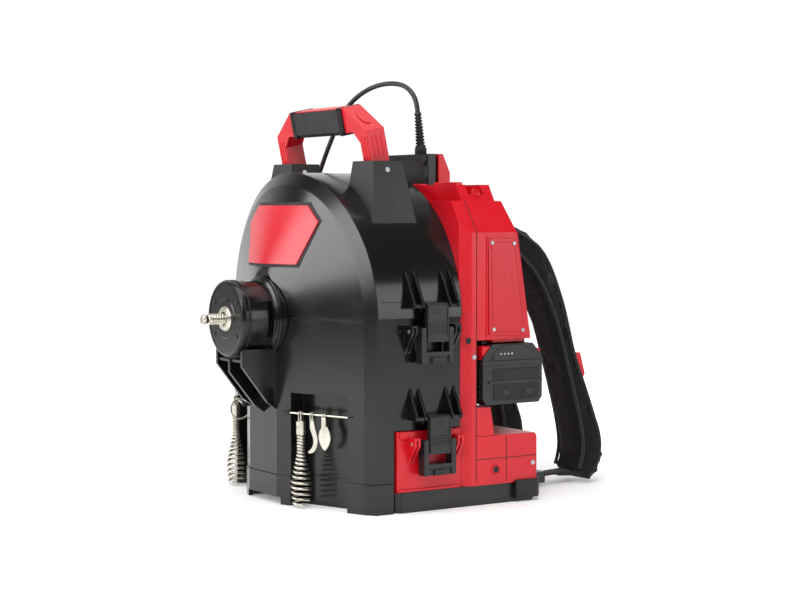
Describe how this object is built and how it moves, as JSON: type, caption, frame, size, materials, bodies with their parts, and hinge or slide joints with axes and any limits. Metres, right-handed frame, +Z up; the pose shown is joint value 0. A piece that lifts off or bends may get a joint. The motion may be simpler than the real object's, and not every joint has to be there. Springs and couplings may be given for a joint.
{
  "type": "drum drain cleaning machine",
  "caption": "Backpack-style drum drain cleaner: closed cable drum housing latched to a battery powerbase with carry handle, foot pedal, hanging cutters and shoulder straps.",
  "frame": {"origin": "on the floor under the drum axis, at the joint face between drum housing and powerbase (Y=0), mid width (X=0)", "axes": "+Z up; -Y is the way the cable leaves the drum, along the drum axis; +X is the side on which the battery slides out"},
  "size_m": [0.5575, 0.584, 0.5792],
  "materials": {
    "gloss_black": "glossy injection-moulded black plastic",
    "matte_black": "fine-textured black plastic",
    "graphite": "textured dark grey plastic",
    "red": "satin red plastic",
    "badge_red": "red printed plate, blank",
    "steel": "nickel-plated spring steel",
    "screw": "zinc-plated steel",
    "rubber": "moulded black rubber",
    "webbing": "black nylon webbing",
    "pad": "black air-mesh padding",
    "lead": "black rubber-sheathed flexible lead",
    "internal_black": "glass-filled black nylon",
    "internal_steel": "machined steel",
    "battery_grey": "dark grey plastic"
  },
  "bodies": {
    "machine": {"base_tray": "gloss_black", "lower_shell": "gloss_black", "upper_shell": "gloss_black", "latch_ledges": "gloss_black", "front_badge": "badge_red", "snout_barrel": "gloss_black", "snout_cap": "gloss_black", "cable_guide_bush": "steel", "snout_bracket": "gloss_black", "handle_towers": "graphite", "carry_handle": "red", "handle_grip": "rubber", "rear_bearing": "internal_steel", "motor_can": "internal_steel", "latch_pivot_pins": "steel", "tool_rods": "steel", "powerbase_front_shell": "red", "control_box": "red", "lower_box": "red", "base_sled": "matte_black", "corner_bumpers": "rubber", "label_plates": "badge_red", "case_screws": "screw", "pedal_base": "matte_black", "pedal_pin": "steel", "pedal_spring": "steel", "pedal_strain_relief": "rubber", "pedal_cord": "lead", "cord_coil": "lead", "cord_gland": "matte_black", "shoulder_straps": "pad", "back_pad": "pad", "lower_webbing": "webbing", "strap_hardware": "matte_black"},
    "drum": {"drum_rear": "internal_black", "drum_front": "internal_black", "wound_cable": "steel", "drum_shaft": "internal_steel", "drive_gear": "internal_steel"},
    "cable": {"cable_end": "steel"},
    "motor_rotor": {"motor_pinion": "internal_steel"},
    "battery": {"battery_case_bottom": "battery_grey", "battery_case_top": "matte_black", "battery_cells": "internal_steel"},
    "button_front": {"battery_button_front": "red"},
    "button_rear": {"battery_button_rear": "red"},
    "treadle": {"pedal_plate": "red"},
    "auger_right": {"funnel_auger_right": "steel"},
    "hook_cutter": {"c_cutter": "steel"},
    "flat_cutter": {"spade_cutter": "steel"},
    "auger_left": {"funnel_auger_left": "steel"},
    "ring_left": {"key_ring": "steel"},
    "upper_right_lever": {"upper_lever_right": "matte_black"},
    "upper_right_hook": {"upper_hook_right": "matte_black"},
    "upper_left_lever": {"upper_lever_left": "matte_black"},
    "upper_left_hook": {"upper_hook_left": "matte_black"},
    "lower_right_lever": {"lower_lever_right": "matte_black"},
    "lower_right_hook": {"lower_hook_right": "matte_black"},
    "lower_left_lever": {"lower_lever_left": "matte_black"},
    "lower_left_hook": {"lower_hook_left": "matte_black"}
  },
  "joints": [
    {"name": "drum_spin", "type": "hinge", "parent": "machine", "child": "drum", "pos_m": [0, 0, 0.25], "axis": [0, 1, 0], "continuous": true},
    {"name": "cable_feed", "type": "slide", "parent": "drum", "child": "cable", "axis": [0, -1, 0], "range_m": [0, 0.15]},
    {"name": "motor_spin", "type": "hinge", "parent": "machine", "child": "motor_rotor", "pos_m": [0, 0.01, 0.29688], "axis": [0, 1, 0], "continuous": true},
    {"name": "battery_slide", "type": "slide", "parent": "machine", "child": "battery", "axis": [1, 0, 0], "range_m": [0, 0.1]},
    {"name": "release_button_front", "type": "slide", "parent": "battery", "child": "button_front", "axis": [0, 1, 0], "range_m": [0, 0.0025], "stiffness_N_per_m": 400},
    {"name": "release_button_rear", "type": "slide", "parent": "battery", "child": "button_rear", "axis": [0, -1, 0], "range_m": [0, 0.0025], "stiffness_N_per_m": 400},
    {"name": "pedal_press", "type": "hinge", "parent": "machine", "child": "treadle", "pos_m": [0, 0.06, 0.422], "axis": [1, 0, 0], "range_deg": [0, 4], "stiffness_Nm_per_rad": 2},
    {"name": "auger_right_swing", "type": "hinge", "parent": "machine", "child": "auger_right", "pos_m": [0.0839, -0.18071, 0.126], "axis": [-0.9404, -0.3401, 0], "range_deg": [0, 60]},
    {"name": "hook_cutter_swing", "type": "hinge", "parent": "machine", "child": "hook_cutter", "pos_m": [0.10271, -0.17391, 0.126], "axis": [-0.9404, -0.3401, 0], "range_deg": [0, 60]},
    {"name": "flat_cutter_swing", "type": "hinge", "parent": "machine", "child": "flat_cutter", "pos_m": [0.12245, -0.16677, 0.126], "axis": [-0.9404, -0.3401, 0], "range_deg": [0, 60]},
    {"name": "auger_left_swing", "type": "hinge", "parent": "machine", "child": "auger_left", "pos_m": [-0.1375, -0.16133, 0.126], "axis": [-0.9404, 0.3401, 0], "range_deg": [0, 60]},
    {"name": "ring_left_swing", "type": "hinge", "parent": "machine", "child": "ring_left", "pos_m": [-0.09612, -0.17629, 0.126], "axis": [-0.9404, 0.3401, 0], "range_deg": [0, 60]},
    {"name": "upper_right_lever_swing", "type": "hinge", "parent": "machine", "child": "upper_right_lever", "pos_m": [0.2035, -0.049, 0.238], "axis": [0, -1, 0], "range_deg": [0, 110]},
    {"name": "upper_right_hook_swing", "type": "hinge", "parent": "upper_right_lever", "child": "upper_right_hook", "pos_m": [0.21, -0.049, 0.227], "axis": [0, -1, 0], "range_deg": [-126.5, 0]},
    {"name": "upper_left_lever_swing", "type": "hinge", "parent": "machine", "child": "upper_left_lever", "pos_m": [-0.2035, -0.049, 0.238], "axis": [0, 1, 0], "range_deg": [0, 110]},
    {"name": "upper_left_hook_swing", "type": "hinge", "parent": "upper_left_lever", "child": "upper_left_hook", "pos_m": [-0.21, -0.049, 0.227], "axis": [0, 1, 0], "range_deg": [-126.5, 0]},
    {"name": "lower_right_lever_swing", "type": "hinge", "parent": "machine", "child": "lower_right_lever", "pos_m": [0.2035, -0.045, 0.091], "axis": [0, -1, 0], "range_deg": [0, 110]},
    {"name": "lower_right_hook_swing", "type": "hinge", "parent": "lower_right_lever", "child": "lower_right_hook", "pos_m": [0.21, -0.045, 0.08], "axis": [0, -1, 0], "range_deg": [-126.5, 0]},
    {"name": "lower_left_lever_swing", "type": "hinge", "parent": "machine", "child": "lower_left_lever", "pos_m": [-0.2035, -0.045, 0.091], "axis": [0, 1, 0], "range_deg": [0, 110]},
    {"name": "lower_left_hook_swing", "type": "hinge", "parent": "lower_left_lever", "child": "lower_left_hook", "pos_m": [-0.21, -0.045, 0.08], "axis": [0, 1, 0], "range_deg": [-126.5, 0]}
  ],
  "couplings": [
    {"joint": "motor_spin", "follows": "drum_spin", "ratio": -4},
    {"joint": "upper_right_hook_swing", "follows": "upper_right_lever_swing", "ratio": -1.15},
    {"joint": "upper_left_hook_swing", "follows": "upper_left_lever_swing", "ratio": -1.15},
    {"joint": "lower_right_hook_swing", "follows": "lower_right_lever_swing", "ratio": -1.15},
    {"joint": "lower_left_hook_swing", "follows": "lower_left_lever_swing", "ratio": -1.15}
  ]
}
